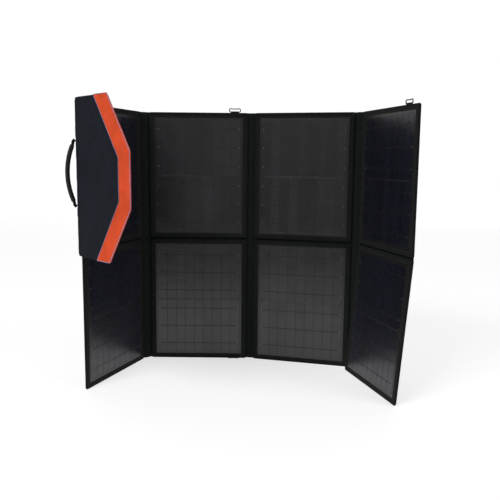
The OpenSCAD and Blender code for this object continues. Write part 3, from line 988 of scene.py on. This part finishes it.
def anchor_patch(name, z_mid, half_h, sign):
    """Webbing end sewn to the spine with a box and a cross."""
    half_w = 11.0
    us, vs = np.linspace(-1, 1, 9), np.linspace(-1, 1, 13)
    u, v = np.meshgrid(us, vs)
    gather = 1 - 0.45 * np.clip(-sign * v, 0, 1) ** 2
    x = -HANDLE_S + u * half_w * gather
    z = z_mid + v * half_h
    top = (CASE_T / 2 + 1.9 - 0.5 * np.abs(u) ** 6 - 0.4 * np.abs(v) ** 8
           + 0.15 * np.sin(u * 9) * (-sign * v > 0.4))
    upper, lower = stack(x, top, z), stack(x, CASE_T / 2 - 0.3, z)
    faces = closed_sheet(13, 9, len(upper))
    piece(f"{name}_patch", SPINE, np.vstack([upper, lower]), faces, STRAP_CLOTH, "spine",
          detail=1)
    y = CASE_T / 2 + 2.0
    a, b, c, d = [(-HANDLE_S + i * 8.4, y, z_mid + j * 9.0)
                  for i, j in ((-1, -1), (1, -1), (1, 1), (-1, 1))]
    points, faces = joined([stitches(np.linspace(start, end, 8), 2.8, 2.2, 0.7, 0.3, (0, 1, 0))
                            for start, end in ((a, b), (b, c), (c, d), (d, a), (a, c), (b, d))])
    piece(f"{name}_stitching", SPINE, points, faces, THREAD, "spine", smooth=False)


handle()


# ---------- Rings ----------

def ring_frame(panel, joint):
    """Flat frame whose origin is the middle of the ring's straight wire."""
    m = PANEL[panel].copy()
    m.translation = Vector(JOINT[joint]["pos_m"])
    if panel[0] == "lower":
        spin = Matrix.Rotation(math.radians(90), 4, Vector(PANEL[panel].col[0][:3]).normalized())
        at = Matrix.Translation(m.translation)
        m = at @ spin @ at.inverted() @ m
    return m


def bent_ring(node, body, panel, joint):
    """Closed wire ring with a dipped outer side."""
    m = ring_frame(panel, joint)
    half, reach, r = 15.0, 9.0, 1.42
    outline = rounded_rect(2 * half, reach, 3.0, 10, 6)
    x, z = outline[:, 0], outline[:, 1]
    dip = 0.8 * np.cos(np.clip(x / 11, -1, 1) * math.pi / 2) * (z > reach * 0.8)
    path = stack(x, 0.0, z - dip)
    points, faces = sweep(path, r, r, 14, closed=True)
    piece(f"{node}_wire", m, points, faces, WIRE_COAT, body, (node,), detail=1)


def ring_tab(node, panel, joint):
    """Webbing loop round the ring's straight wire, sewn into the panel's edge."""
    m = PANEL[panel].copy()
    m.translation = Vector(JOINT[joint]["pos_m"])
    sign = 1 if panel[0] == "upper" else -1
    arc = np.linspace(-math.pi * 0.5, math.pi * 0.5, 13)
    outer = [(2.05 * math.sin(a), sign * 2.05 * math.cos(a)) for a in arc]
    stem = 6.5
    loop = [(-1.2, -sign * stem), (-1.9, -sign * 2.0), *outer, (1.9, -sign * 2.0), (1.2, -sign * stem)]
    inner = [(y * 0.72, z * 0.72 if abs(z) < 3 else z) for y, z in loop]
    section = loop + inner[::-1]
    columns = 14
    xs = np.linspace(-11.0, 11.0, columns)
    points = [(x, y + 0.08 * math.sin(x * 1.3), z) for x in xs for y, z in section]
    count = len(section)
    faces = grid_faces(columns, count, close_cols=True)
    faces += [tuple(range(count))[::-1], tuple(range((columns - 1) * count, columns * count))]
    body = f"{panel[0]}_{panel[1]}"
    piece(f"{node}_loop", m, points, faces, STRAP_CLOTH, body, (node,))


for panel in (("upper", 2), ("upper", 4), ("lower", 2)):
    label = f"{panel[0]}_{panel[1]}"
    joint = f"ring_{label}_swing"
    bent_ring(f"{label}_ring", f"ring_{label}", panel, joint)
    ring_tab(f"{label}_ring_tab", panel, joint)


# ---------- Floor, light and camera ----------

def white_sheet(name, corners, lit, shade, fade=None):
    """Floor or backdrop of plain white paper; fade dims it towards the camera's side."""
    mesh = bpy.data.meshes.new(name)
    mesh.from_pydata(corners, [], [(0, 1, 2, 3)])
    material, nodes, links, bsdf = new_material(f"{name}_paper")
    where = nodes.new("ShaderNodeTexCoord").outputs["Object"]
    links.new(spread(nodes, links, where, 3, 0.75, 0.85), bsdf.inputs["Roughness"])
    bsdf.inputs["Base Color"].default_value = (shade, shade, shade, 1)
    bsdf.inputs["Specular IOR Level"].default_value = 0.1
    bsdf.inputs["Emission Color"].default_value = (1, 1, 1, 1)
    bsdf.inputs["Emission Strength"].default_value = lit
    if fade:
        parts = nodes.new("ShaderNodeSeparateXYZ")
        links.new(where, parts.inputs[0])
        run = nodes.new("ShaderNodeMapRange")
        run.inputs["From Min"].default_value = fade[0]
        run.inputs["From Max"].default_value = fade[1]
        run.inputs["To Min"].default_value = 0.02
        run.inputs["To Max"].default_value = 1.0
        links.new(parts.outputs["Y"], run.inputs["Value"])
        grey = ramp(nodes, links, run.outputs["Result"], [(0.0, (0, 0, 0)), (1.0, (1, 1, 1))])
        links.new(grey, bsdf.inputs["Emission Color"])
        base = mix_colour(nodes, links, run.outputs["Result"], (0.05, 0.05, 0.05), (shade, shade, shade))
        links.new(base, bsdf.inputs["Base Color"])
    mesh.materials.append(material)
    sheet = add_object(name, mesh)


def stage():
    """White floor and backdrop."""
    white_sheet("floor", [(-6, -3, 0), (6, -3, 0), (6, 4, 0), (-6, 4, 0)], 0.62, 0.5, (-1.35, -0.82))
    white_sheet("backdrop", [(-6, 4, -0.01), (6, 4, -0.01), (6, 4, 7), (-6, 4, 7)], 1.0, 0.02)


def light(name, location, target, size, power):
    """Rectangular area light aimed at a point."""
    data = bpy.data.lights.new(name, "AREA")
    data.shape = "RECTANGLE"
    data.size, data.size_y = size
    data.energy = power
    obj = add_object(name, data)
    obj.location = location
    obj.rotation_mode = "QUATERNION"
    obj.rotation_quaternion = (Vector(target) - Vector(location)).to_track_quat("-Z", "Y")


def surroundings():
    """White world and two soft boxes above and in front."""
    world = bpy.data.worlds.new("studio")
    bpy.context.scene.world = world
    world.use_nodes = True
    background = world.node_tree.nodes["Background"]
    background.inputs["Color"].default_value = (1, 1, 1, 1)
    background.inputs["Strength"].default_value = 0.24
    middle = (CAD_BOX[0] + CAD_BOX[1]) / 2
    light("key", (-1.6, -2.4, 2.9), middle, (1.8, 1.2), 78)
    light("fill", (2.4, -1.4, 2.4), middle, (1.4, 1.4), 26)


def camera():
    """Camera in front, tilted down a little and rolled by half a degree."""
    data = bpy.data.cameras.new("camera")
    data.sensor_width = 36
    data.lens = 45.4
    data.clip_end = 60
    obj = add_object("camera", data)
    obj.location = (0.1459, -1.7795, 0.5666)
    pitch, roll = math.radians(90 - 7.96), math.radians(0.58)
    obj.rotation_mode = "QUATERNION"
    obj.rotation_quaternion = (Matrix.Rotation(pitch, 4, "X")
                               @ Matrix.Rotation(roll, 4, "Z")).to_quaternion()
    bpy.context.scene.camera = obj


stage()
surroundings()
camera()
bpy.context.scene.view_settings.view_transform = "Standard"
